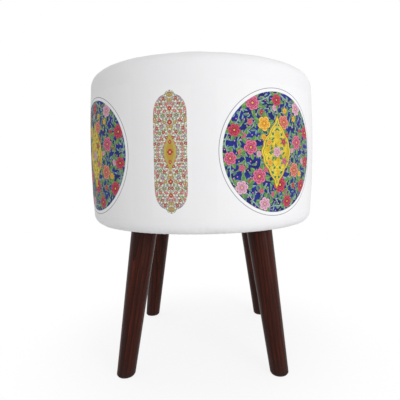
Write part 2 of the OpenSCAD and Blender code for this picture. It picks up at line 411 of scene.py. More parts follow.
def weave(u, v, pitch):  # a plain weave: warp and weft take turns on top
    across, along = u / pitch, v / pitch
    warp, weft = (abs((way * math.pi).math("SINE")) for way in (across, along))
    over = (across.math("FLOOR") + along.math("FLOOR")) % 2
    warpOnTop = warp * (weft * 0.4 + 0.6)
    weftOnTop = weft * (warp * 0.4 + 0.6)
    return weftOnTop + (warpOnTop - weftOnTop) * over


def clothSurface(colour, u, v):
    threads = weave(u, v, cloth["threadPitch"])
    slubs = cloud(placed(joined(u, v), size=cloth["slubs"]), 1.0, 3.0)
    bump, roughness = threads + slubs * 0.8, slubs * 0.1 + cloth["roughness"]
    # painted shade: the colour darkens in the gaps between threads, where shade falls
    gapShaded = ((1 - threads) * 0.3).blend(colour, cloth["paintedGapShadeAndMottle"], "MULTIPLY")
    looks = {"Specular_IOR_Level": 0.3, "Sheen_Weight": cloth["sheen"], "Sheen_Roughness": 0.4}
    surface(gapShaded, roughness, bump, 0.6, cloth["weaveDepth"], **looks)


def plainCloth(start):
    u, v = clothCoordinates(start)
    uneven = cloud(joined(u, v), 50.0, 3.0)
    # the same grey gives the plain cloth its faint uneven mottle
    clothSurface((uneven * 0.1).blend(cloth["white"], cloth["paintedGapShadeAndMottle"]), u, v)


# Print: four round pictures and four tall pointed panels, in turn round the drum; in millimetres

printLayout = {
    "height": 315 * mm,  # of the pictures' middles above the floor, in metres
    "roundelAzimuth": math.radians(34.2),
    "roundelReach": 88.0,
    "panelReach": (27.0, 82.0),
    "wobble": 1.0,
    "mottle": 14.0,
}
printPitch = quarterTurn * drumRadius / mm
inks = {
    "lapis": srgb(30, 44, 142),
    "nightBlue": srgb(16, 20, 88),
    "leaf": srgb(92, 140, 76),
    "lightLeaf": srgb(128, 162, 84),
    "leafDark": srgb(42, 104, 70),
    "aqua": srgb(112, 160, 162),
    "paleLine": srgb(170, 190, 158),
    "gold": srgb(200, 168, 34),
    "lightGold": srgb(226, 204, 60),
    "amber": srgb(196, 116, 34),
    "brownLine": srgb(84, 50, 24),
    "pinkDot": srgb(230, 150, 172),
    "grey": srgb(128, 128, 134),
}
flowerInks = {  # where each kind starts on its dice; then the petals' foot, middle, tip and outline
    "rose": (0.0, (142, 26, 66), (190, 64, 102), (218, 132, 158), (90, 18, 56)),
    "peony": (0.32, (164, 84, 124), (202, 138, 168), (228, 196, 206), (106, 52, 98)),
    "crimson": (0.5, (106, 16, 44), (170, 36, 66), (208, 88, 106), (68, 12, 38)),
    "coral": (0.78, (156, 42, 48), (196, 86, 78), (222, 158, 134), (102, 26, 38)),
    "marigold": (0.92, (188, 84, 34), (220, 156, 44), (236, 200, 84), (120, 56, 24)),
}
roundel = {
    "field": 79.6,
    "ring": (83.7, 84.5),
    "foliage": [  # spacing, leaf length and width, three inks
        (10.6, 8.0, 1.6, "leafDark", "leaf", "paleLine"),
        (9.8, 6.4, 1.1, "aqua", "leafDark", "paleLine"),
    ],
    "dots": (9.1, 0.8),  # spacing and size
    "stems": [  # the circle they wave about, how far and how often, leaf spacing and length, inks
        (34.0, 5.5, 5, 8.0, 8.2, "leaf", "lightLeaf", "leafDark"),
        (56.0, 5.5, 7, 8.0, 8.2, "leaf", "lightLeaf", "leafDark"),
        (74.0, 3.0, 9, 7.0, 6.8, "aqua", "leaf", "paleLine"),
    ],
    "wreaths": [  # radius, number, size, how far they stray
        (57.0, 17, 4.6, 3.0),
        (29.0, 8, 4.2, 2.0),
        (70.5, 11, 10.0, 6.0),
        (43.5, 7, 12.0, 5.0),
    ],
    "medallion": {"halfWidth": 25.0, "halfHeight": 53.0, "lobes": 7, "lobeDepth": 2.0},
    "medallionDots": (3.4, 0.62),
    "medallionStem": (8.0, 1.6, 1.1, 5.6, 5.6, "leaf", "leafDark", "leafDark"),
    "medallionWreaths": [(18.0, 4, 4.8, 1.0), (0.0, 1, 8.5, 0.0)],
}
panel = {
    "halfWidth": 22.4,
    "shoulder": 42.0,
    "shoulderRise": 31.0,
    "squareness": 2.6,
    "tip": (70.8, 6.6),
    "stems": (3.1, 0.9),  # spacing, and how unevenly they lie
    "sprigs": (4.2, 3.8, 0.8),  # spacing, length and width
    "blossoms": [(4.4, 0.95, 5.0), (6.9, 1.45, 3.0)],  # spacing, size, the dice's seed
    "medallion": (8.6, 30.0),
    "rosettes": [(0.0, 2.6), (12.5, 1.6), (37.0, 2.2), (54.0, 1.8)],  # up the middle: height and size
}
panelInks = {
    "ground": srgb(228, 228, 216),
    "stem": srgb(132, 142, 108),
    "sprigs": (srgb(112, 152, 110), srgb(156, 136, 150), srgb(186, 200, 166)),
    "blossoms": [
        (0.0, srgb(158, 62, 72)),
        (0.3, srgb(150, 128, 156)),
        (0.5, srgb(192, 104, 118)),
        (0.72, srgb(168, 140, 72)),
        (0.86, srgb(112, 132, 88)),
    ],
    "eye": srgb(226, 200, 128),
    "rosette": srgb(172, 62, 66),
    "medallion": (srgb(204, 186, 104), srgb(182, 150, 62)),
    "medallionLine": srgb(120, 132, 74),
    "medallionEdge": srgb(150, 112, 44),
}


def printPlace(start, azimuth, wobble):  # from the middle of the nearest copy of a print
    u, v = clothCoordinates(start)
    side = (u - (azimuth * drumRadius / mm - printPitch / 2)) % printPitch - printPitch / 2
    inputs = {"Vector": joined(side, v), "Scale": 1 / printLayout["mottle"], "Detail": 1.0}
    mottle, drift = start.node("ShaderNodeTexNoise", {}, inputs, (0, 1))
    across, rise = start.node("ShaderNodeSeparateColor", {}, {0: drift}, (0, 1))
    return u, v, side, side + (across - 0.5) * wobble, v + (rise - 0.5) * wobble, mottle


def leafShape(ground, along, across, length, width, ink, otherInk, line):
    middle = along / (length * 0.5) - 1
    aside = abs(across)
    room = (1 - middle * middle) * width - aside
    leaf = above(across, 0.0, width * 0.1).blend(ink, otherInk)
    leaf = leaf.over(line, below(aside, width * 0.08, width * 0.07))
    leaf = leaf.over(line, below(room, width * 0.13, width * 0.06))
    return ground.over(leaf, above(room, 0.0, 0.15))


def stem(ground, far, turn, radius, wave, waves, spacing, length, *names):  # waving, with leaves
    across = far - (turn * waves).math("SINE") * wave - radius
    along = turn * (round(fullTurn * radius / spacing / 2) * 2 / fullTurn)
    whole = along.math("FLOOR")
    step = (along - whole - 0.5) * spacing
    sideways = across * ((whole % 2) * 2 - 1)
    cosine, sine = math.cos(math.radians(48)), math.sin(math.radians(48))  # how far the leaves lean
    leafAlong = step * cosine + sideways * sine + length * 0.1
    leafAcross = sideways * cosine - step * sine
    ground = ground.over(inks["paleLine"], below(abs(across), 0.45, 0.15))
    three = [inks[name] for name in names]
    return leafShape(ground, leafAlong, leafAcross, length, length * 0.27, *three)


def petalLayer(ground, far, turn, size, foot, middle, tip, line):
    wave = abs(turn.math("COSINE"))
    reach = far / ((wave * 0.22 + 0.78) * size)
    petal = above(reach, 0.5, 0.2).blend(foot, middle)
    petal = petal.over(tip, above(reach, 0.8, 0.1))
    petal = petal.over(foot, below(wave, 0.16, 0.1) * above(reach, 0.4, 0.1))
    petal = petal.over(line, above(reach, 0.95, 0.03))
    return ground.over(petal, below(reach, 1.0, 0.05))


def stepped(dice, steps):  # one of some colours
    return dice.node("ShaderNodeValToRGB", {"steps": steps}, {0: dice})


def flower(ground, dx, dy, size, dice):
    foot, middle, tip, line = (
        stepped(dice[2], [(kind[0], srgb(*kind[part])) for kind in flowerInks.values()])
        for part in range(1, 5)
    )
    size = size * (dice[1] * 0.25 + 0.8)
    far, turn = distance(dx, dy), dy.math("ARCTAN2", dx)
    step = fullTurn / 5  # five leaves lie round each flower
    fold = ((turn + dice[0] * fullTurn) % step) - step / 2
    along, across = far * fold.math("COSINE") - size * 0.5, far * fold.math("SINE")
    leaves = [inks[name] for name in ("lightLeaf", "leaf", "leafDark")]
    ground = leafShape(ground, along, across, size * 1.15, size * 0.29, *leaves)
    petals = (dice[1] * 2.99).math("FLOOR") + 5
    half = turn * (petals * 0.5) + dice[0] * 9
    ground = petalLayer(ground, far, half, size, foot, middle, tip, line)
    ground = petalLayer(ground, far, half + quarterTurn, size * 0.7, foot, middle, tip, foot)
    ground = petalLayer(ground, far, half + 0.6, size * 0.42, middle, foot, tip, line)
    return ground.over(inks["lightGold"], below(far, size * 0.12, size * 0.04))


wreathNumbers = ("X", "Y", "Turn", "Seed", "Radius", "Count", "Size", "Stray")


def wreathTree():  # flowers evenly round a circle
    numbers = dict.fromkeys(wreathNumbers, "Float")
    tree, given = newTree("wreath", "Shader", "Color", Ground="Color", **numbers)
    ground, x, y, turn, seed, radius, count, size, stray = given
    ahead = seed * 0.37  # so that the circles don't start together
    whole = (turn * (count / fullTurn) + ahead).math("FLOOR")
    dice = threeDice((whole % count) + seed * 31.7)
    centre = (whole + 0.5 - ahead) * (fullTurn / count) + (dice[0] - 0.5) * (stray / 60)
    far = (dice[1] - 0.5) * stray + radius
    dx, dy = x - centre.math("COSINE") * far, y - centre.math("SINE") * far
    picture = flower(ground, dx, dy, size, dice)
    picture.node("NodeGroupOutput", {}, {0: picture}, None)
    return tree


def wreaths(ground, x, y, turn, tree, forms, seed):
    for number, form in enumerate(forms):
        inputs = dict(zip(wreathNumbers, (x, y, turn, seed + number, *form)))
        ground = ground.node("ShaderNodeGroup", {"node_tree": tree}, {"Ground": ground, **inputs})
    return ground


def threeDice(number):
    settings = {"noise_dimensions": "1D"}
    colour = number.node("ShaderNodeTexWhiteNoise", settings, {"W": number}, "Color")
    return colour.node("ShaderNodeSeparateColor", {}, {0: colour}, (0, 1, 2))


def scattered(x, y, cell, seed, jitter):  # a spot in each brick of a wall: its dice, the way from it
    row = (y / cell).math("FLOOR")
    shifted = x + row * (cell / 2)
    column = (shifted / cell).math("FLOOR")
    dice = threeDice(column * 12.9898 + row * 78.233 + seed)
    dx = shifted - (column + 0.5) * cell + (dice[1] - 0.5) * jitter
    dy = y - (row + 0.5) * cell + (dice[2] - 0.5) * jitter
    return dice, dx, dy


def scatteredLeaves(ground, x, y, seed, cell, length, width, ink, otherInk, line):
    dice, dx, dy = scattered(x, y, cell, seed, (cell - length) * 0.8)
    turn = dice[0] * fullTurn
    cosine, sine = turn.math("COSINE"), turn.math("SINE")
    along = dx * cosine + dy * sine
    across = dy * cosine - dx * sine + along * along * (0.35 / length)
    shade = above(dice[1], 0.5, 0.05).blend(ink, otherInk)
    return leafShape(ground, along + length / 2, across, length, width, shade, ink, line)


def scatteredDots(ground, x, y, seed, cell, size, ink):
    _, dx, dy = scattered(x, y, cell, seed, cell * 0.6)
    return ground.over(ink, below(distance(dx, dy), size, size * 0.25))


def medallionOver(ground, x, y, mottle, shape):  # a pointed gold shape with a lobed edge
    x = abs(x)
    t = (abs(y) / shape["halfHeight"]).math("MINIMUM", 1.0)
    lobes = abs((t * (math.pi * shape["lobes"] / 2)).math("COSINE")) * shape["lobeDepth"]
    outline = ((t * math.pi).math("COSINE") + 1) * (shape["halfWidth"] / 2)
    room = outline + lobes * below(t, 0.85, 0.1) - x
    gold = above(mottle, 0.5, 0.15).blend(inks["lightGold"], inks["gold"])
    gold = scatteredDots(gold, x, y, 5.0, *roundel["medallionDots"], inks["amber"])
    radius = roundel["medallionStem"][0]
    gold = stem(gold, x - outline * 0.42 + radius, y / radius, *roundel["medallionStem"])
    gold = gold.over(inks["lightGold"], below(room, 4.4, 0.2))
    gold = gold.over(inks["leafDark"], between(room, 3.6, 4.4, 0.15))
    gold = gold.over(inks["amber"], between(room, 0.9, 1.6, 0.15))
    gold = gold.over(inks["brownLine"], below(room, 0.55, 0.15))
    return ground.over(gold, above(room, 0.0, 0.2))


def roundelCloth(start):
    azimuth, wobble = printLayout["roundelAzimuth"], printLayout["wobble"]
    u, v, side, x, y, mottle = printPlace(start, azimuth, wobble)
    picture = above(mottle, 0.5, 0.2).blend(inks["nightBlue"], inks["lapis"])
    for seed, (cell, length, width, *names) in enumerate(roundel["foliage"]):
        three = [inks[name] for name in names]
        picture = scatteredLeaves(picture, x, y, seed, cell, length, width, *three)
    picture = scatteredDots(picture, x, y, 7.0, *roundel["dots"], inks["pinkDot"])
    turn = y.math("ARCTAN2", x)
    for form in roundel["stems"]:
        picture = stem(picture, distance(x, y), turn, *form)
    tree = wreathTree()
    picture = wreaths(picture, x, y, turn, tree, roundel["wreaths"], 0)
    picture = medallionOver(picture, x, y, mottle, roundel["medallion"])
    picture = wreaths(picture, x, y, turn, tree, roundel["medallionWreaths"], 8)
    far = distance(side, v)
    picture = picture.over(cloth["white"], above(far, roundel["field"], 0.3))
    picture = picture.over(inks["grey"], between(far, *roundel["ring"], 0.2))
    clothSurface(picture, u, v)


def blossom(ground, dx, dy, size, turn, ink):  # five petals round a pale eye
    lobes = abs((dy.math("ARCTAN2", dx) * 2.5 + turn).math("COSINE"))
    reach = distance(dx, dy) / (lobes * (size * 0.6) + size)
    petals = above(reach, 0.3, 0.05).blend(panelInks["eye"], ink)
    return ground.over(petals, below(reach, 1.0, 0.08))


def panelCloth(start):
    azimuth, wobble = printLayout["roundelAzimuth"] - math.pi / 4, printLayout["wobble"] * 0.6
    u, v, _, x, y, _ = printPlace(start, azimuth, wobble)
    x, y = abs(x), abs(y)
    spacing, uneven = panel["stems"]
    settings = {"voronoi_dimensions": "2D", "feature": "DISTANCE_TO_EDGE"}
    inputs = {"Vector": joined(x, y), "Scale": 1 / spacing, "Randomness": uneven}
    web = x.node("ShaderNodeTexVoronoi", settings, inputs)
    picture = below(web, 0.1, 0.05).blend(panelInks["ground"], panelInks["stem"])
    picture = scatteredLeaves(picture, x, y, 1.0, *panel["sprigs"], *panelInks["sprigs"])
    for cell, size, seed in panel["blossoms"]:
        dice, dx, dy = scattered(x, y, cell, seed, cell * 0.5)
        picture = blossom(picture, dx, dy, size, dice[1] * 6, stepped(dice[0], panelInks["blossoms"]))
    halfWidth, halfHeight = panel["medallion"]
    upTip = (y / halfHeight).math("MINIMUM", 1.0)
    room = ((upTip * math.pi).math("COSINE") + 1) * (halfWidth / 2) - x
    gold = above(room, 3.0, 0.3).blend(*panelInks["medallion"])
    gold = gold.over(panelInks["medallionLine"], between(room, 1.6, 2.2, 0.15))
    gold = gold.over(panelInks["medallionEdge"], below(room, 0.6, 0.15))
    picture = picture.over(gold, above(room, 0.0, 0.2))
    for height, size in panel["rosettes"]:
        picture = blossom(picture, x, y - height, size, 0.0, panelInks["rosette"])
    across = (x / panel["halfWidth"]).math("POWER", panel["squareness"])
    rise = (y - panel["shoulder"]).math("MAXIMUM", 0.0) / panel["shoulderRise"]
    tipHeight, tipSize = panel["tip"]
    tipX, tipY = x / tipSize, (y - tipHeight) / tipSize
    body, tip = across + rise.math("POWER", panel["squareness"]), tipX * tipX + tipY * tipY
    outside = body.math("SMOOTH_MIN", tip, 0.5)
    clothSurface(picture.over(cloth["white"], above(outside, 0.95, 0.03)), u, v)


clothMaterials = [newMaterial(build) for build in (plainCloth, roundelCloth, panelCloth)]
print("cloth dyed")


# Fit: a cloth simulation says how unevenly the cover lies; its swelling is taken out again

coverFit = {
    "segments": 200,
    "rowPitch": 10 * mm,
    "jitter": 0.12 * mm,
    "seed": 4,
    "cloth": {
        "tension_stiffness": 40,
        "compression_stiffness": 40,
        "shear_stiffness": 10,
        "bending_stiffness": 2.0,
        "quality": 4,
        "use_pressure": True,
        "uniform_pressure_force": 4.0,
        "shrink_min": -0.012,  # the cloth is cut this much larger than the drum
        "vertex_group_mass": "held",
    },
    "frames": 12,
    "most": 0.8 * mm,
    "sleeveShare": 0.35,  # the foam round the wall is firm
    "seatShare": 0.75,
    "calmMiddle": (40 * mm, 130 * mm),
}


def fitRows(pitch):  # rows of the outline an even way apart, with the seam's own row among them
    rows = {int(np.argmin(abs(profileLength - far))) for far in np.arange(0, profileLength[-1], pitch)}
    return sorted({row for row in rows if fromSeam[row] > pitch / 2} | {seamRow, len(fromSeam) - 1})


def meshPoints(mesh):
    places = np.empty(len(mesh.vertices) * 3)
    mesh.vertices.foreach_get("co", places)
    return places.reshape(-1, 3)


def fitSheet(form, rows, around):  # the cover as one thin sheet, held at the hem and at the seam
    sheet, _ = turnedPiece("coverFit", profilePoints[rows, :1], profilePoints[rows, 1:], around, False)
    flat = [row for row in rows if profileNormals[row][1] < -0.99]
    held = [rows.index(row) * len(around) + k for row in [*flat, seamRow] for k in range(len(around))]
    sheet.vertex_groups.new(name="held").add(held, 1.0, "REPLACE")
    start = meshPoints(sheet.data)
    uneven = np.random.default_rng(form["seed"]).normal(0, form["jitter"], start.shape)
    uneven[held] = 0
    sheet.data.vertices.foreach_set("co", (start + uneven).ravel())
    return sheet, start


def runCloth(sheet, form):
    modifier = sheet.modifiers.new("fit", "CLOTH")
    for name, value in form["cloth"].items():
        setattr(modifier.settings, name, value)
    modifier.settings.effector_weights.gravity = 0
    modifier.point_cache.frame_end = form["frames"]
    for number in range(1, form["frames"] + 1):
        bpy.context.scene.frame_set(number)
    fitted = meshPoints(sheet.evaluated_get(bpy.context.evaluated_depsgraph_get()).data)
    bpy.data.objects.remove(sheet)
    bpy.context.scene.frame_set(1)
    return fitted


def fitCover(form):
    rows, around = fitRows(form["rowPitch"]), evenTurn(form["segments"])
    uneven = np.zeros((len(rows), len(around)))
    sheet, start = fitSheet(form, rows, around)
    moved = runCloth(sheet, form) - start
    for number, row in enumerate(rows[:-1]):
        across, up = profileNormals[row]
        out = np.stack([across * np.sin(around), -across * np.cos(around), up + 0 * around], 1)
        away = (moved[number * len(around) :][: len(around)] * out).sum(axis=1)
        uneven[number] = away - away.mean()
    uneven = (np.roll(uneven, 1, axis=1) + 2 * uneven + np.roll(uneven, -1, axis=1)) / 4
    return rows, np.clip(uneven, -form["most"], form["most"])


def throughSamples(samples, at, closed):  # a smooth curve through rows of samples
    whole = np.floor(at).astype(int)
    share = (at - whole)[:, None]
    places = [whole + step for step in (-1, 0, 1, 2)]
    places = [place % len(samples) if closed else np.clip(place, 0, len(samples) - 1) for place in places]
    before, first, second, after = (samples[place] for place in places)
    bend = 2 * before - 5 * first + 4 * second - after
    twist = 3 * (first - second) + after - before
    return first + 0.5 * share * (second - before + share * (bend + share * twist))


def fittedRelief(form, azimuths):
    alongRows = np.interp(profileLength, profileLength[fitRow], np.arange(len(fitRow)))
    finer = throughSamples(fitUneven, alongRows, False)
    seat = smoothstep(profilePoints[:, 0], *form["calmMiddle"]) * form["seatShare"]
    share = np.where(np.arange(len(seat)) > seamRow, seat, form["sleeveShare"])
    return throughSamples(finer.T, azimuths / fullTurn * form["segments"], True).T * share[:, None]


fitRow, fitUneven = fitCover(coverFit)
print("cover fitted")


# Cover: the printed sleeve and the plain top panel, drawn in by the seam between them

coverForm = {
    "segments": 480,
    "seamGroove": 1.5 * mm,
    "seamWidth": 2.0 * mm,
    "seamGap": 0.06 * mm,
    "puckers": (97, 61),
    "puckerDepth": 0.22 * mm,
    "puckerReach": 7 * mm,
    "pleats": (84, 53),
    "pleatDepth": 0.5 * mm,
    "pleatReach": 9 * mm,
    "joinAzimuth": math.radians(-177.8),
    "joinGroove": 0.7 * mm,
    "joinWidth": 1.2 * mm,
    "besideJoin": np.array([-1.8, -1.1, -0.55, 0.55, 1.1, 1.8]) * mm,
    "liningStep": 3,
}


def clothRelief(form, around):  # how far the cloth stands out of its outline: the face, and the lining
    radii, heights = profilePoints[:, :1], profilePoints[:, 1:]
    waves = 0.6 * np.sin(form["puckers"][0] * around + 0.7 * np.sin(3 * around))
    waves += 0.4 * np.sin(form["puckers"][1] * around + 1.3 * np.sin(5 * around + 1))
    puckers = form["puckerDepth"] * waves * np.exp(-fromSeam[:, None] / form["puckerReach"])
    fromJoin = abs((around - form["joinAzimuth"] + math.pi) % fullTurn - math.pi) * drumRadius
    onSleeve = (np.arange(len(radii)) <= seamRow)[:, None]
    join = form["joinGroove"] * np.exp(-((fromJoin / form["joinWidth"]) ** 2)) * onSleeve
    soft = -seamDip + puckers + fittedRelief(coverFit, around) - join
    low = heights < undersideZ + drumShape["lowPart"]
    pleat = 1 - abs(np.sin(form["pleats"][0] * around) * np.sin(form["pleats"][1] * around + 0.5))
    nearEdge = np.exp(-(((heights - undersideZ) / form["pleatReach"]) ** 2)) * low
    overBoard = (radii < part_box("base_board")[1].x + 1 * mm) & low
    face = np.where(overBoard, -0.6 * join, soft) - form["pleatDepth"] * pleat**4 * nearEdge
    return face, np.where(overBoard, 0.0, soft)


def shellRows(rows, liningRows, depth, face, lining):  # a shell's outer rows, then its inner rows back
    back = liningRows[::-1]
    out = np.vstack([face[rows], lining[back] - depth])[:, None]
    rows = np.concatenate([rows, back])
    places = profilePoints[rows, :, None] + out * profileNormals[rows, :, None]
    return places[:, 0], places[:, 1]


seamDip = coverForm["seamGroove"] * np.exp(-((fromSeam[:, None] / coverForm["seamWidth"]) ** 2))
besideJoin = (coverForm["besideJoin"] / drumRadius) % fullTurn
coverAround = coverForm["joinAzimuth"] + np.sort([*evenTurn(coverForm["segments"]), *besideJoin])
clothFace, clothLining = clothRelief(coverForm, coverAround)
printMiddle = np.interp(printLayout["height"], profilePoints[:seamRow, 1], profileLength[:seamRow])


def coverPiece(name, rows, gap):
    lining = np.append(rows[: -1 : coverForm["liningStep"]], rows[-1])
    radii, heights = shellRows(rows, lining, drumShape["coverThickness"], clothFace, clothLining)
    atSeam = [len(rows) - 1, len(rows)] if rows[-1] == seamRow else [0, -1]
    radii[atSeam] += gap
    along = (profileLength[np.concatenate([rows, lining[::-1]])] - printMiddle) / mm
    return turnedPiece(name, radii, heights, coverAround, along=along)


def choosePrint(piece, rows, faceRows):  # only the places that hold a print carry its nodes
    layer = piece.data.uv_layers["clothMap"].uv
    roundelAt = printLayout["roundelAzimuth"] * drumRadius / mm
    width, height = printLayout["panelReach"]
    for polygon, row in zip(piece.data.polygons, rows):
        if row >= faceRows - 1:
            continue
        u, v = layer[polygon.loop_start].vector
        aside = abs((u - roundelAt + printPitch / 2) % printPitch - printPitch / 2)
        if max(aside, abs(v)) < printLayout["roundelReach"]:
            polygon.material_index = 1
        elif printPitch / 2 - aside < width and abs(v) < height:
            polygon.material_index = 2


def sideBand(gap):
    rows = np.arange(seamRow + 1)
    made, faces = coverPiece("coverSideBand", rows, gap)
    settle(made, "cover_fabric", "cover_side_band", finishes=clothMaterials)
    choosePrint(made, faces, len(rows))


def topPanel(gap):
    made, _ = coverPiece("coverTopPanel", np.arange(seamRow, len(profilePoints)), -gap)
    places = [made.data.vertices[loop.vertex_index].co.xy / mm for loop in made.data.loops]
    made.data.uv_layers["clothMap"].uv.foreach_set("vector", np.array(places, np.float32).ravel())
    settle(made, "cover_fabric", "cover_top_panel", finishes=clothMaterials[:1])


sideBand(coverForm["seamGap"])
topPanel(coverForm["seamGap"])
print("cover made")


# Padding under the cover: wadding, the crowned seat foam and the foam round the wall

padding = {
    "segments": 180,
    "fluff": 0.45 * mm,
    "fluffSeed": 7,
    "foamUneven": 0.0006,
    "foamSeed": 11,
    "foamRows": 12,
    "fibre": srgb(243, 243, 238),
    # the painted shade in the wadding's hollows
    "paintedFibreShade": srgb(214, 214, 208),
    "foam": srgb(240, 226, 176),
    # the painted shade in the pores, and the foam's own uneven yellowing
    "paintedPoreShadeAndAge": srgb(214, 192, 132),
    "poreSize": 0.9 * mm,
}
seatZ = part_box("seat_board")[1].z
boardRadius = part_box("seat_board")[1].x
wallLow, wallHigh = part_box("wall_board")


def waddingFibre(start):
    place = objectCoordinates(start)
    lumps = cloud(place, 12 * mm, 4.0, 0.6)
    fibres = cloud(placed(place, turn=(0.5, 0.4, 0.9), size=(5.0, 0.6, 0.6)), 1.2 * mm, 4.0, 0.7)
    # painted shade: the wadding is darker where its bump is low, in the hollows between lumps and fibres
    colour = (lumps + fibres * 0.3).blend(padding["paintedFibreShade"], padding["fibre"])
    bump = lumps * 2.0 + fibres
    surface(colour, 0.95, bump, 1.0, 0.5 * mm, Sheen_Weight=0.5, Specular_IOR_Level=0.2)


def openFoam(start):
    place = objectCoordinates(start)
    inputs = {"Vector": place, "Scale": 1 / padding["poreSize"], "Randomness": 1.0}
    pores = below(place.node("ShaderNodeTexVoronoi", {}, inputs, 0), 0.42, 0.12)
    age = cloud(place, 60 * mm, 3.0)
    # painted shade darkens the foam inside its pores; the large cloud is the foam's own uneven yellowing
    colour = (pores * 0.6 + age * 0.3).blend(padding["foam"], padding["paintedPoreShadeAndAge"])
    surface(colour, 0.92, 1 - pores, 0.7, 0.3 * mm, Specular_IOR_Level=0.25)


def insetRows(depth, lowestRadius, lowestZ=0.0, highestZ=1.0):  # rows of the outline inside the cover
    radii, heights = (profilePoints - depth * profileNormals).T
    kept = (heights > undersideZ + drumShape["lowPart"]) | (radii >= lowestRadius)
    return np.nonzero(kept & (heights >= lowestZ) & (heights <= highestZ))[0]


def waddingWrap(gap):
    around = evenTurn(padding["segments"])
    depth = drumShape["coverThickness"] + gap
    inner, cut = depth + drumShape["waddingThickness"], boardRadius + gap
    _, relief = clothRelief(coverForm, around)
    lumps = np.random.default_rng(padding["fluffSeed"]).random(relief.shape) * padding["fluff"]
    lumps[-1] = lumps[-1].mean()
    rows = insetRows(depth, cut)
    innerRows = np.union1d(insetRows(inner, cut)[::2], rows[-1:])
    face = relief - seamDip * 0.2 - lumps - depth
    made, _ = turnedPiece("waddingWrap", *shellRows(rows, innerRows, inner, face, 0 * relief), around)
    settle(made, "wadding", "wadding_wrap", finishes=[newMaterial(waddingFibre)])


def foamPiece(name, node, rings, closed, finish):
    around, rings = evenTurn(padding["segments"]), np.array(rings)
    dice = np.random.default_rng(padding["foamSeed"]).random((len(rings), len(around)))
    radii = rings[:, :1] * (1 - padding["foamUneven"] * dice)
    made, _ = turnedPiece(name, radii, rings[:, 1:], around, closed)
    settle(made, "foam", node, finishes=[finish])


def foams(gap, finish):
    depth = drumShape["coverThickness"] + drumShape["waddingThickness"] + 2 * gap
    inside, cut = profilePoints - depth * profileNormals, boardRadius + gap
    crown = inside[insetRows(depth, 0.0, seatZ)]
    flat = [(x, seatZ) for x in np.linspace(0, crown[0][0], padding["foamRows"])]
    foamPiece("seatFoam", "seat_foam", [*flat[:-1], *crown], False, finish)
    side = inside[insetRows(depth, cut, 0.0, seatZ)]
    back = [(wallHigh.x + gap, z) for z in np.linspace(seatZ, wallLow.z, padding["foamRows"])]
    foamPiece("sideFoam", "side_foam", [*side, *back, (cut, wallLow.z)], True, finish)


waddingWrap(drumShape["layerGap"])
foams(drumShape["layerGap"], newMaterial(openFoam))
print("padding made")


# Geometry Nodes: trees with named inputs, run once and kept as plain meshes


def aboutZ(angle):
    turn = angle.node("ShaderNodeCombineXYZ", {}, {2: angle})
    return turn.node("FunctionNodeEulerToRotation", {}, {0: turn})


def randomTurn(start, most, seed):  # a small seeded turn about each part's own Z
    inputs = {2: most * -1.0, 3: most, 8: seed}
    return aboutZ(start.node("FunctionNodeRandomValue", {"data_type": "FLOAT"}, inputs, 1))


def everywhere(spots, part, turn):  # the part at every spot, as one mesh
    inputs = {"Points": spots, "Instance": part, "Rotation": turn}
    parts = spots.node("GeometryNodeInstanceOnPoints", {}, inputs)
    return spots.node("GeometryNodeRealizeInstances", {}, {0: parts})


def endTree(spots, part, turn, finish):
    part = spots.node("GeometryNodeObjectInfo", {}, {0: part}, "Geometry")
    inputs = {"Geometry": everywhere(spots, part, turn), "Material": finish}
    spots.node("NodeGroupOutput", {}, {0: spots.node("GeometryNodeSetMaterial", {}, inputs)}, None)


def pathTree(name, **inputs):  # its inputs have the names that the pieces' dictionaries use
    inputs = {"path": "Geometry", "part": "Object", "finish": "Material", "seed": "Int", **inputs}
    return newTree(name, "Geometry", "Geometry", **inputs)


def alongPathTree(pivot):  # parts in a row on a path, their X axis along it
    tree, given = pathTree("alongPath", count="Int", wobble="Float")
    path, part, finish, seed, count, wobble = given
    curve = path.node("GeometryNodeMeshToCurve", {}, {0: path})
    spots = path.node("GeometryNodeResampleCurve", {}, {"Curve": curve, "Count": count})
    tangent = path.node("GeometryNodeInputTangent", {}, {})
    settings = {"axis": "X", "pivot_axis": pivot}
    turn = path.node("FunctionNodeAlignRotationToVector", settings, {"Vector": tangent})
    inputs = {0: turn, 1: randomTurn(path, wobble, seed)}
    turn = path.node("FunctionNodeRotateRotation", {"rotation_space": "LOCAL"}, inputs)
    endTree(spots, part, turn, finish)
    return tree


def grown(name, tree, points, closed, part, finish, form):  # runs a tree on a path, keeps the mesh
    edges = [(i, i + 1) for i in range(len(points) - 1)]
    if closed:
        edges.append((len(points) - 1, 0))
    holder = addObject("path", newMesh("path", points, edges, []))
    modifier = holder.modifiers.new("grow", "NODES")
    modifier.node_group = tree
    given = {"part": part, "finish": finish, **form}
    for item in tree.interface.items_tree:
        if item.name in given:
            modifier[item.identifier] = given[item.name]
    mesh = evaluatedMesh(holder)
    mesh.name = name
    mesh.shade_smooth()
    bpy.data.objects.remove(holder)
    bpy.data.objects.remove(part)
    return addObject(name, mesh)


def onDrum(radius, height, azimuth):
    return (radius * math.sin(azimuth), -radius * math.cos(azimuth), height)


def loft(name, points, sides):  # a bar through rings of points, closed at both ends
    faces = [tuple(range(sides))[::-1], tuple(range(len(points) - sides, len(points)))]
    for first in range(0, len(points) - sides, sides):
        for k in range(sides):
            a, b = first + k, first + (k + 1) % sides
            faces.append((a, b, b + sides, a + sides))
    return addObject(name, newMesh(name, points, [], faces))


# Sewing: lockstitches in the seam round the seat and in the sleeve's join at the back

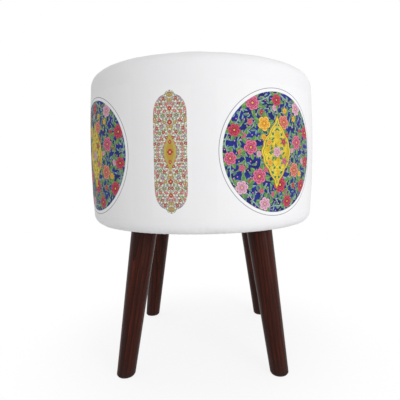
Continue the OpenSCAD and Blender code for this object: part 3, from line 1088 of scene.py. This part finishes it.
sewing = {
    "pitch": 3.2 * mm,
    "length": 2.5 * mm,
    "threadRadius": 0.27 * mm,
    "ends": [(-1, 0.25), (-0.82, 0.75), (-0.4, 1), (0.4, 1), (0.82, 0.75), (1, 0.25)],
    "sides": 7,
    "plyPitch": 0.5 * mm,
    "lift": 0.12 * mm,
    "wobble": 0.08,
    "seed": 3,
    "thread": srgb(240, 240, 241),
    # the painted shade in the grooves between the thread's plies
    "threadShade": srgb(206, 206, 210),
}


def sewingThread(start):
    x, y, z = split(objectCoordinates(start))
    ply = ((x + y + z) * (fullTurn / sewing["plyPitch"])).math("SINE")
    # painted shade: the thread darkens in the grooves between its plies, where its bump is low
    colour = below(ply, -0.4, 0.4).blend(sewing["thread"], sewing["threadShade"])
    surface(colour, 0.55, ply, 1.0, 0.05 * mm, Sheen_Weight=0.2)


def stitchPart():  # along X, thin at both ends
    half, around, points = sewing["length"] / 2, evenTurn(sewing["sides"]), []
    for x, size in sewing["ends"]:
        radius = sewing["threadRadius"] * size
        points += [(half * x, radius * math.cos(a), radius * math.sin(a)) for a in around]
    return loft("stitch", points, len(around))


def sewRow(name, points, closed, finish):
    count = int(np.linalg.norm(np.diff(points, axis=0), axis=1).sum() / sewing["pitch"])
    form = sewing | {"count": count}
    settle(grown(name, alongPathTree("AUTO"), points, closed, stitchPart(), finish, form), "cover_fabric")


def sewCover(lift, finish):
    x, z = profilePoints[seamRow]
    ring = [onDrum(x, z + face + lift, turn) for face, turn in zip(clothFace[seamRow], coverAround)]
    sewRow("seatSeamStitches", ring, True, finish)
    rows = range(drumShape["steps"]["flat"], seamRow - 2)
    upright = profilePoints + (clothFace[:, :1] + lift) * profileNormals
    sewRow("joinStitches", [onDrum(*upright[row], coverAround[0]) for row in rows], False, finish)


sewCover(sewing["lift"], newMaterial(sewingThread))
print("seams sewn")


# Dust cover: black non-woven cloth stapled over the hem, hanging a little between the leg plates

hemRadius = profilePoints[0, 0]
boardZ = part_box("base_board")[0].z
plateNames = [name for name in nodes if name.startswith("leg_plate_")]
plateCentres = [sum(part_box(name), Vector()) / 2 for name in plateNames]
dustCover = {
    "radius": 158.9 * mm,
    "edgeWave": 0.5 * mm,
    "rings": 64,
    "segments": 300,
    "thickness": 0.4 * mm,
    "gap": 0.1 * mm,
    "sag": 1.9 * mm,
    "wrinkle": 0.35 * mm,
    "tightening": (hemRadius - 45 * mm, hemRadius - 4 * mm),
    "lap": (hemRadius - 1.6 * mm, hemRadius + 0.6 * mm),  # where it steps over the hem
    "plateReach": (34 * mm, 60 * mm),
    "well": 8.5 * mm,
    "wellShift": 1.4 * mm,
    "wellDepth": 8 * mm,
    "wellSides": 40,
    "black": srgb(30, 30, 32),
    "dotShine": srgb(52, 52, 55),
    "dotPitch": 1.6 * mm,
}


def dustHeights(x, y, form):  # the upper face of the cloth
    radius, azimuth = np.hypot(x, y), np.arctan2(y, x)
    free = 1 - smoothstep(radius, *form["tightening"])
    for centre in plateCentres:
        free = free * smoothstep(np.hypot(x - centre.x, y - centre.y), *form["plateReach"])
    tight = np.sin(9 * azimuth + 0.6) * np.sin(60 * radius + 2 * np.sin(3 * azimuth))
    sag = form["sag"] * free + form["wrinkle"] * free * (1 - free) * 4 * (tight + 1) / 2
    flat, lapped = boardZ - form["gap"], undersideZ - form["gap"]
    return flat - sag + (lapped - flat) * smoothstep(radius, *form["lap"])


def spunbond(start):
    place = objectCoordinates(start)
    x, y, _ = split(place)
    dx, dy = (((way / dustCover["dotPitch"]) % 1.0) - 0.5 for way in (x + y, x - y))
    dots = below(distance(dx, dy), 0.24, 0.06)
    ways = (placed(place, turn=(0, 0, turn), size=(6.0, 0.7, 1.0)) for turn in (0.6, -0.9))
    first, second = (cloud(way, 0.5 * mm, 3.0, 0.7) for way in ways)
    fibres = first + second
    colour = (dots * 0.6 + fibres * 0.2).blend(dustCover["black"], dustCover["dotShine"])
    bump, roughness = fibres * 0.5 - dots * 0.8, 0.72 - dots * 0.25
    surface(colour, roughness, bump, 1.0, 0.12 * mm, Specular_IOR_Level=0.35)


def cutWells(piece, form):  # holes for the plates' nuts, which sit in the board
    radii = np.array([[0.0], [form["well"]], [form["well"]], [0.0]])
    heights = boardZ + form["wellDepth"] * np.array([[-1], [-1], [1], [1]])
    for centre in plateCentres:
        cutter, _ = turnedPiece("wellCutter", radii, heights, evenTurn(form["wellSides"]), False)
        inwards = 1 - form["wellShift"] / centre.xy.length
        cutter.data.transform(Matrix.Translation((centre.x * inwards, centre.y * inwards, 0)))
        modifier = piece.modifiers.new("well", "BOOLEAN")
        modifier.operation = "DIFFERENCE"
        modifier.object = cutter
        mesh = evaluatedMesh(piece)
        piece.modifiers.remove(modifier)
        piece.data = mesh
        bpy.data.objects.remove(cutter)


def dustCoverPiece(form):
    around = evenTurn(form["segments"])
    edge = form["radius"] + form["edgeWave"] * np.sin(13 * around + 2 * np.sin(4 * around))
    radii = (np.linspace(0, 1, form["rings"]) ** 0.9)[:, None] * edge
    heights = dustHeights(radii * np.sin(around), -radii * np.cos(around), form)
    heights[0] = heights[0].mean()
    lower = heights - form["thickness"]
    radii, heights = np.vstack([radii, radii[::-1]]), np.vstack([lower, heights[::-1]])
    made, _ = turnedPiece("dustCover", radii, heights, around)
    cutWells(made, form)
    settle(made, "dust_cloth", "dust_cover", finishes=[newMaterial(spunbond)])
    reach = form["radius"]
    2 * reach
    2 * reach
    math.pi * reach**2


dustCoverPiece(dustCover)
print("dust cover stapled up")


# Metal: staples, wood screws, nuts, bolts and the pressed leg plates

metal = {
    "zinc": srgb(198, 200, 202),
    "zincShade": srgb(150, 153, 158),
    "zincBlue": srgb(176, 184, 200),
}
staples = {
    "crown": 10 * mm,
    "leg": 4 * mm,
    "bend": 0.7 * mm,
    "width": 1.2 * mm,
    "thickness": 0.55 * mm,
    "radius": 155.6 * mm,
    "count": 60,
    "wobble": 0.16,
    "seed": 5,
}
screws = {
    "pitch": 39 * mm,  # from one to the next in a plate
    "shank": 2.0 * mm,
    "core": 1.35 * mm,
    "head": 3.8 * mm,
    "rim": 0.25 * mm,
    "length": 15 * mm,
    "plain": 3 * mm,
    "tip": 4 * mm,
    "thread": 1.6 * mm,
    "crossReach": 2.1 * mm,
    "crossWidth": 0.5 * mm,
    "crossDepth": 1.7 * mm,
    "sides": 48,
    "rowPitch": 0.3 * mm,
    "seed": 9,
}


def zincPlating(start, grainSize, brushed=False):
    place = objectCoordinates(start)
    spangle = cloud(place, grainSize * 6, 4.0, 0.6)
    grain = placed(place, turn=(0, 0, math.pi / 4), size=(12.0, 1.0, 1.0)) if brushed else place
    fine = cloud(grain, grainSize, 3.0, 0.65)
    tone = (spangle * 1.3).blend(metal["zincShade"], metal["zinc"])
    tone = tone.over(metal["zincBlue"], above(cloud(place, 25 * mm, 2.0), 0.56, 0.15) * 0.5)
    roughness = fine * 0.2 + spangle * 0.18 + 0.2
    surface(tone, roughness, fine + spangle * 0.5, 0.35, 0.05 * mm, Metallic=1.0)


def staplePart():
    half, leg, bend = staples["crown"] / 2, staples["leg"], staples["bend"]
    corner = [(half - bend * (1 - math.cos(a)), bend * (1 - math.sin(a))) for a in (0.5, 1.1)]
    side = [(half, leg), (half, bend), *corner, (half - bend, 0.0)]
    path = [Vector((-x, z)) for x, z in side] + [Vector(spot) for spot in side[::-1]]
    wide, thick = staples["width"] / 2, staples["thickness"] / 2
    section = [(-wide, -thick * 0.4), (-wide * 0.6, -thick), (wide * 0.6, -thick), (wide, -thick * 0.4)]
    section += [(-across, -outwards) for across, outwards in section]
    points = []
    for before, spot, after in zip(path[:1] + path, path, path[1:] + path[-1:]):
        ahead = (after - before).normalized()
        for across, outwards in section:
            place = spot + Vector((-ahead.y, ahead.x)) * outwards
            points.append((place.x, across, place.y))
    return loft("staple", points, len(section))


def screwPart(form):  # its flat head at the origin, facing down, and its point up
    around = evenTurn(form["sides"])
    quarter = (around + math.pi / 4) % quarterTurn - math.pi / 4
    arm = form["crossWidth"] / np.maximum(abs(np.sin(quarter)), 1e-3)
    cross = np.minimum(form["crossReach"] / np.cos(quarter), arm)
    head, shank, core, rim = form["head"], form["shank"], form["core"], form["rim"]
    rows = [(0, form["crossDepth"]), (cross * 0.45, form["crossDepth"] * 0.9)]
    rows += [(cross * 0.9, 0.25 * mm), (cross, 0), (head * 0.97, 0), (head, rim)]
    rows += [(shank, head - shank + rim)]
    end, top = form["length"], form["length"] - form["tip"]
    for z in np.arange(form["plain"], end - 0.4 * mm, form["rowPitch"]):
        taper = 1 - 0.85 * max(0.0, (z - top) / (end - top)) ** 1.3
        phase = (z / form["thread"] - around / fullTurn) % 1
        ridge = np.clip(1 - abs(phase - 0.5) * 4, 0, 1) * (shank - core)
        rows.append(((core + ridge) * taper, z))
    rows.append((0, end))
    radii, heights = (np.array([value + 0 * around for value in column]) for column in zip(*rows))
    return turnedPiece("screw", radii[::-1], heights[::-1], -around, False)[0]


def screwTree():  # a square of screws at each place on the path, every cross turned at random
    tree, (path, part, finish, seed, pitch) = pathTree("plateScrews", pitch="Float")
    inputs = {"Size X": pitch, "Size Y": pitch, "Vertices X": 2, "Vertices Y": 2}
    square = path.node("GeometryNodeMeshGrid", {}, inputs)
    quarter = path.node("GeometryNodeInputIndex", {}, {}) * quarterTurn + math.pi / 4
    corners = everywhere(path, square, aboutZ(quarter))
    endTree(corners, part, randomTurn(path, math.pi / 4, seed), finish)
    return tree


def stapleRing(finish):
    height = undersideZ - dustCover["gap"] - dustCover["thickness"] - staples["thickness"] / 2
    ring = [onDrum(staples["radius"], height, azimuth) for azimuth in evenTurn(240)]
    made = grown("dustStaples", alongPathTree("Z"), ring, True, staplePart(), finish, staples)
    settle(made, "fastener_steel")


def plateScrews(finish):
    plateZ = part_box("plate_screws")[0].z
    spots = [(centre.x, centre.y, plateZ) for centre in plateCentres]
    made = grown("plateScrews", screwTree(), spots, False, screwPart(screws), finish, screws)
    settle(made, "fastener_steel", "plate_screws")


fastenerSteel = newMaterial(zincPlating, 0.3 * mm, name="fastenerZinc")
dress(newMaterial(zincPlating, 0.8 * mm, True, name="plateZinc"), *plateNames)
dress(fastenerSteel, "plate_nuts", "hanger_bolts", "frame_screws")
stapleRing(fastenerSteel)
plateScrews(fastenerSteel)
print("metal parts made")


# Wood: stained legs, plywood boards, pine posts and the bent fibreboard wall; and the plastic glides

legWood = {
    "splay": math.radians(9.5),
    "topZ": 201.1 * mm,
    "dark": srgb(24, 8, 3),
    "middle": srgb(56, 17, 8),
    "warm": srgb(104, 39, 17),
    # a painted reflection of the pale floor on the lower leg
    "paintedFloorReflection": srgb(44, 27, 24),
    "footReach": (-188 * mm, 22 * mm),  # where the painted reflection of the floor starts, down from the leg's top, and its blur
    "ringPitch": 5.5 * mm,
    "ringBend": 14 * mm,
    "heart": (31 * mm, 12 * mm),
    "poreSize": (0.35 * mm, 0.35 * mm, 7 * mm),
}
rawWood = {
    "birch": srgb(222, 190, 142),
    "birchShade": srgb(184, 144, 96),
    "glue": srgb(110, 78, 50),
    "plies": 9,
    "pine": srgb(232, 198, 146),
    "pineLate": srgb(190, 138, 80),
    "knot": srgb(104, 62, 34),
    "hardboard": srgb(124, 84, 52),
    "hardboardShade": srgb(84, 54, 34),
}
legs = {  # azimuth from the front, and a number that makes each leg's grain its own
    "leg_front_left": (-45, 0.2),
    "leg_front_right": (45, 1.4),
    "leg_back_right": (135, 2.3),
    "leg_back_left": (-135, 3.1),
}
plastic = {"black": srgb(24, 24, 25), "scuffed": srgb(66, 65, 63)}


def stainedWood(start, azimuth, seed):  # grain runs along the leg, from its own tree's heart
    top = onDrum(math.hypot(*plateCentres[0].xy), legWood["topZ"], azimuth)
    leg = placed(objectCoordinates(start), top, (0, -legWood["splay"], azimuth - quarterTurn))
    x, y, z = split(leg)
    moved = placed(leg, (0, 0, seed * 0.37), size=(1, 1, 9))
    heartX, heartY = legWood["heart"]
    far = distance(x - heartX, y - heartY) + cloud(moved, 30 * mm, 2.0) * legWood["ringBend"]
    ring = (far / legWood["ringPitch"]) % 1.0
    late = ring * ring
    streaks = cloud(placed(moved, size=(1, 1, 3)), 2.2 * mm, 4.0, 0.6)
    pores = above(cloud(placed(leg, (seed, 0, 0), size=legWood["poreSize"]), 1.0, 1.0), 0.64, 0.05)
    low = below(z, *legWood["footReach"])
    tone = (late * 0.7 + streaks * 0.5).blend(legWood["middle"], legWood["dark"])
    tone = tone.over(legWood["warm"], above(streaks, 0.55, 0.2) * (1 - late) * 0.55)
    # the dark in the pores is stain; the grey towards the foot is a painted reflection of the pale floor
    tone = tone.over(legWood["dark"], pores * 0.7).over(legWood["paintedFloorReflection"], low * 0.55)
    roughness = streaks * 0.15 + low * 0.12 + 0.3
    surface(tone, roughness, streaks * 0.5 - pores, 0.4, 0.12 * mm, Specular_IOR_Level=0.12)


def grainLines(place, pitch, length, bend):  # growth rings cut lengthwise, running along X
    _, y, z = split(place)
    wave = cloud(placed(place, size=(length, 1, 1)), 40 * mm, 2.0)
    return ((y + z * 0.4) / pitch + wave * bend) % 1.0


def plywood(start, node):
    low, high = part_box(node)
    birch = (rawWood["birch"], rawWood["birchShade"])
    place = objectCoordinates(start)
    rings = grainLines(place, 16 * mm, 8.0, 5.0)
    fine = cloud(placed(place, size=(14, 1, 1)), 1.5 * mm, 3.0, 0.6)
    face = (rings * 0.45 + fine * 0.35).blend(*birch)
    layer = (split(place)[2] - low.z) * (rawWood["plies"] / (high.z - low.z))
    odd = above(layer.math("FLOOR") % 2, 0.5, 0.01)
    edgeGrain = cloud(placed(place, size=(1, 1, 0.5)), 0.8 * mm, 2.0)
    edge = (odd * 0.75 + edgeGrain * 0.3).blend(*birch)
    edge = edge.over(rawWood["glue"], below(layer % 1.0, 0.09, 0.04) * 0.8)
    tone = edge.over(face, above(facing(start), 0.7, 0.1))
    surface(tone, 0.62 + fine * 0.15, fine, 0.4, 0.1 * mm)


def planedPine(start):
    place = placed(objectCoordinates(start), turn=(0, quarterTurn, 0))
    rings = grainLines(place, 6 * mm, 7.0, 2.4)
    fine = cloud(placed(place, size=(20, 1, 1)), 1.0 * mm, 3.0, 0.6)
    late = rings * rings * rings
    inputs = {"Vector": placed(place, size=(2.2, 1, 1)), "Scale": 1 / (45 * mm), "Randomness": 1.0}
    knots = below(place.node("ShaderNodeTexVoronoi", {}, inputs, 0), 0.11, 0.03)
    tone = (late * 0.8 + fine * 0.2).blend(rawWood["pine"], rawWood["pineLate"])
    tone = tone.over(rawWood["knot"], knots * 0.85)
    surface(tone, 0.55 + fine * 0.15, fine + late * 0.6, 0.35, 0.12 * mm)


def hardboard(start):
    place = objectCoordinates(start)
    fibres, blotches = cloud(place, 2.5 * mm, 5.0, 0.7), cloud(place, 40 * mm, 2.0)
    tone = (fibres * 0.8 + blotches * 0.3).blend(rawWood["hardboard"], rawWood["hardboardShade"])
    surface(tone, 0.5 + fibres * 0.25, fibres, 0.5, 0.15 * mm)


def glidePlastic(start):
    place = objectCoordinates(start)
    grain = cloud(place, 0.7 * mm, 3.0, 0.6)
    scuffs = above(cloud(placed(place, turn=(0, 0, 0.5), size=(7, 1, 1)), 1.5 * mm, 3.0), 0.6, 0.06)
    worn = scuffs * above(facing(start), 0.8, 0.1) * 0.6
    tone = worn.blend(plastic["black"], plastic["scuffed"])
    surface(tone, 0.42 + grain * 0.2 + scuffs * 0.15, grain, 0.3, 0.06 * mm)


for name, (azimuth, seed) in legs.items():
    dress(newMaterial(stainedWood, math.radians(azimuth), seed, name=name + "Wood"), name)
for name in ("seat_board", "base_board"):
    dress(newMaterial(plywood, name, name=name + "Plywood"), name)
dress(newMaterial(planedPine), "post_front", "post_back", "post_left", "post_right")
dress(newMaterial(hardboard), "wall_board")
dress(newMaterial(glidePlastic), *(name for name in nodes if name.startswith("glide_")))
print("wood and plastic finished")


# Light: a soft key from the front right in an even white room, on a pale floor

studio = {
    "ambient": 0.677,
    "keyPlace": Vector((1.16, -1.48, 0.72)),
    "keyAim": Vector((0, 0, 0.3)),
    "keySize": 0.9,
    "keyPower": 13.2,
    "floorReach": 15.0,
    "floorTone": (0.97, 0.97, 0.97, 1),
    "shadowShare": 0.15,
    "shadowReach": (0.23, 0.1),  # its middle from the stool's axis, and its blur
}


def seenDirectly(start):  # 1 for what the camera sees, also in a mirror or through glass
    camera, glossy, clear = start.node("ShaderNodeLightPath", {}, {}, (0, 3, 6))
    return (camera + glossy + clear).math("MINIMUM", 1.0)


def whiteRoom(ambient):
    world = bpy.data.worlds.new("whiteRoom")
    bpy.context.scene.world = world
    world.use_nodes = True
    world.node_tree.nodes.clear()
    start = Value(world.node_tree)
    strength = seenDirectly(start) * (1.0 - ambient) + ambient
    sky = start.node("ShaderNodeBackground", {}, {"Color": (1, 1, 1, 1), "Strength": strength})
    start.node("ShaderNodeOutputWorld", {}, {"Surface": sky}, None)


def keyLight(form):
    light = bpy.data.lights.new("key", "AREA")
    light.shape = "DISK"
    light.size = form["keySize"]
    light.energy = form["keyPower"]
    aim = (form["keyAim"] - form["keyPlace"]).to_track_quat("-Z", "Y")
    addObject("key", light).matrix_world = Matrix.LocRotScale(form["keyPlace"], aim, None)


def paleFloor(start, form):  # white to the camera, and a plain matte to the light
    x, y, _ = split(objectCoordinates(start))
    near = below(distance(x, y), *form["shadowReach"])
    white = seenDirectly(start) * (1 - near * form["shadowShare"])
    matte = start.node("ShaderNodeBsdfDiffuse", {}, {"Color": form["floorTone"]})
    bright = start.node("ShaderNodeEmission", {}, {"Color": (1, 1, 1, 1), "Strength": 1.0})
    mixed = start.node("ShaderNodeMixShader", {}, {0: white, 1: matte, 2: bright})
    start.node("ShaderNodeOutputMaterial", {}, {"Surface": mixed}, None)


def layFloor(form):
    far = form["floorReach"]
    corners = [(-far, -far, 0), (far, -far, 0), (far, far, 0), (-far, far, 0)]
    floor = addObject("floor", newMesh("floor", corners, [], [(0, 1, 2, 3)]))
    floor.data.materials.append(newMaterial(paleFloor, form))


whiteRoom(studio["ambient"])
keyLight(studio)
layFloor(studio)
bpy.context.scene.view_settings.view_transform = "Standard"
print("studio lit")
